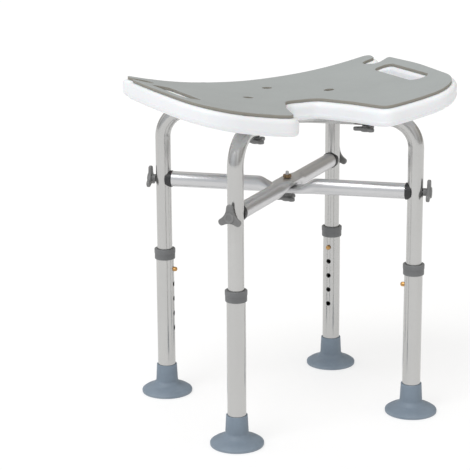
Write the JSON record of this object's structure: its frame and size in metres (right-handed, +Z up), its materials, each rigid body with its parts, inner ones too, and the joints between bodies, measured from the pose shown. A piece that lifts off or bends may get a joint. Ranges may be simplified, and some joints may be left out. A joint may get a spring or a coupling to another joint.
{
  "type": "shower stool",
  "caption": "Backless shower stool with a dished seat, open front cut-out, foam pad, crossed tube frame and height-adjustable legs on wide feet.",
  "frame": {"origin": "on the floor under the middle of the outer box", "axes": "+Z up, -Y towards the open side of the seat cut-out, +X to the right seen from the front"},
  "size_m": [0.4888, 0.3568, 0.5475],
  "materials": {
    "tube": "satin anodised",
    "steel": "zinc plated",
    "brass": "satin",
    "black_plastic": "matte",
    "grey_plastic": "fine moulded grain",
    "foot_rubber": "matte",
    "seat_plastic": "satin blow-moulded polyethylene",
    "pad_foam": "closed-cell foam, fine skin"
  },
  "bodies": {
    "frame": {"seat_shell": "seat_plastic", "seat_pad": "pad_foam", "brace_nut": "brass", "hoop_front_left_to_back_right": "tube", "brace_bar_front_left_to_back_right": "tube", "hoop_back_left_to_front_right": "tube", "brace_bar_back_left_to_front_right": "tube", "seat_insert_centre": "brass", "seat_insert_front_left": "brass", "seat_insert_front_right": "brass", "seat_insert_back_right": "brass", "seat_insert_back_left": "brass", "front_left_snap_spring": "steel", "front_left_brace_plug": "black_plastic", "front_left_plug_nut": "steel", "front_right_snap_spring": "steel", "front_right_brace_plug": "black_plastic", "front_right_plug_nut": "steel", "back_right_snap_spring": "steel", "back_right_brace_plug": "black_plastic", "back_right_plug_nut": "steel", "back_left_snap_spring": "steel", "back_left_brace_plug": "black_plastic", "back_left_plug_nut": "steel"},
    "front_left_leg": {"front_left_lower_leg": "tube", "front_left_collar": "grey_plastic", "front_left_foot": "foot_rubber"},
    "front_left_button": {"front_left_snap_button": "brass"},
    "front_left_brace_knob": {"front_left_brace_knob": "grey_plastic", "front_left_brace_stud": "steel"},
    "front_right_leg": {"front_right_lower_leg": "tube", "front_right_collar": "grey_plastic", "front_right_foot": "foot_rubber"},
    "front_right_button": {"front_right_snap_button": "brass"},
    "front_right_brace_knob": {"front_right_brace_knob": "grey_plastic", "front_right_brace_stud": "steel"},
    "back_right_leg": {"back_right_lower_leg": "tube", "back_right_collar": "grey_plastic", "back_right_foot": "foot_rubber"},
    "back_right_button": {"back_right_snap_button": "brass"},
    "back_right_brace_knob": {"back_right_brace_knob": "grey_plastic", "back_right_brace_stud": "steel"},
    "back_left_leg": {"back_left_lower_leg": "tube", "back_left_collar": "grey_plastic", "back_left_foot": "foot_rubber"},
    "back_left_button": {"back_left_snap_button": "brass"},
    "back_left_brace_knob": {"back_left_brace_knob": "grey_plastic", "back_left_brace_stud": "steel"},
    "seat_centre_knob": {"seat_centre_knob": "grey_plastic", "seat_centre_stud": "steel"},
    "seat_front_left_knob": {"seat_front_left_knob": "grey_plastic", "seat_front_left_stud": "steel"},
    "seat_front_right_knob": {"seat_front_right_knob": "grey_plastic", "seat_front_right_stud": "steel"},
    "seat_back_right_knob": {"seat_back_right_knob": "grey_plastic", "seat_back_right_stud": "steel"},
    "seat_back_left_knob": {"seat_back_left_knob": "grey_plastic", "seat_back_left_stud": "steel"},
    "brace_centre_knob": {"brace_centre_knob": "grey_plastic", "brace_centre_stud": "steel"}
  },
  "joints": [
    {"name": "front_left_height", "type": "slide", "parent": "frame", "child": "front_left_leg", "axis": [0, 0, 1], "range_m": [0, 0.1016], "deforming": ["front_left_snap_button"]},
    {"name": "front_left_button_press", "type": "slide", "parent": "frame", "child": "front_left_button", "axis": [-0.7616, -0.648, 0], "range_m": [0, 0.0085], "stiffness_N_per_m": 800, "springref_m": -0.002, "deforming": ["front_left_snap_spring"]},
    {"name": "front_left_brace_knob_turn", "type": "hinge", "parent": "frame", "child": "front_left_brace_knob", "pos_m": [-0.1575, -0.13177, 0.368], "axis": [-0.7616, -0.648, 0], "continuous": true},
    {"name": "front_right_height", "type": "slide", "parent": "frame", "child": "front_right_leg", "axis": [0, 0, 1], "range_m": [0, 0.1016], "deforming": ["front_right_snap_button"]},
    {"name": "front_right_button_press", "type": "slide", "parent": "frame", "child": "front_right_button", "axis": [0.7616, -0.648, 0], "range_m": [0, 0.0085], "stiffness_N_per_m": 800, "springref_m": -0.002, "deforming": ["front_right_snap_spring"]},
    {"name": "front_right_brace_knob_turn", "type": "hinge", "parent": "frame", "child": "front_right_brace_knob", "pos_m": [0.1575, -0.13177, 0.368], "axis": [0.7616, -0.648, 0], "continuous": true},
    {"name": "back_right_height", "type": "slide", "parent": "frame", "child": "back_right_leg", "axis": [0, 0, 1], "range_m": [0, 0.1016], "deforming": ["back_right_snap_button"]},
    {"name": "back_right_button_press", "type": "slide", "parent": "frame", "child": "back_right_button", "axis": [0.7616, 0.648, 0], "range_m": [0, 0.0085], "stiffness_N_per_m": 800, "springref_m": -0.002, "deforming": ["back_right_snap_spring"]},
    {"name": "back_right_brace_knob_turn", "type": "hinge", "parent": "frame", "child": "back_right_brace_knob", "pos_m": [0.1575, 0.13623, 0.368], "axis": [0.7616, 0.648, 0], "continuous": true},
    {"name": "back_left_height", "type": "slide", "parent": "frame", "child": "back_left_leg", "axis": [0, 0, 1], "range_m": [0, 0.1016], "deforming": ["back_left_snap_button"]},
    {"name": "back_left_button_press", "type": "slide", "parent": "frame", "child": "back_left_button", "axis": [-0.7616, 0.648, 0], "range_m": [0, 0.0085], "stiffness_N_per_m": 800, "springref_m": -0.002, "deforming": ["back_left_snap_spring"]},
    {"name": "back_left_brace_knob_turn", "type": "hinge", "parent": "frame", "child": "back_left_brace_knob", "pos_m": [-0.1575, 0.13623, 0.368], "axis": [-0.7616, 0.648, 0], "continuous": true},
    {"name": "seat_centre_knob_turn", "type": "hinge", "parent": "frame", "child": "seat_centre_knob", "pos_m": [0, 0.00223, 0.466], "axis": [0, 0, -1], "continuous": true},
    {"name": "seat_front_left_knob_turn", "type": "hinge", "parent": "frame", "child": "seat_front_left_knob", "pos_m": [-0.09657, -0.07993, 0.466], "axis": [0, 0, -1], "continuous": true},
    {"name": "seat_front_right_knob_turn", "type": "hinge", "parent": "frame", "child": "seat_front_right_knob", "pos_m": [0.09657, -0.07993, 0.466], "axis": [0, 0, -1], "continuous": true},
    {"name": "seat_back_right_knob_turn", "type": "hinge", "parent": "frame", "child": "seat_back_right_knob", "pos_m": [0.09657, 0.08439, 0.466], "axis": [0, 0, -1], "continuous": true},
    {"name": "seat_back_left_knob_turn", "type": "hinge", "parent": "frame", "child": "seat_back_left_knob", "pos_m": [-0.09657, 0.08439, 0.466], "axis": [0, 0, -1], "continuous": true},
    {"name": "brace_centre_knob_turn", "type": "hinge", "parent": "frame", "child": "brace_centre_knob", "pos_m": [0, 0.00223, 0.35], "axis": [0, 0, -1], "continuous": true}
  ]
}
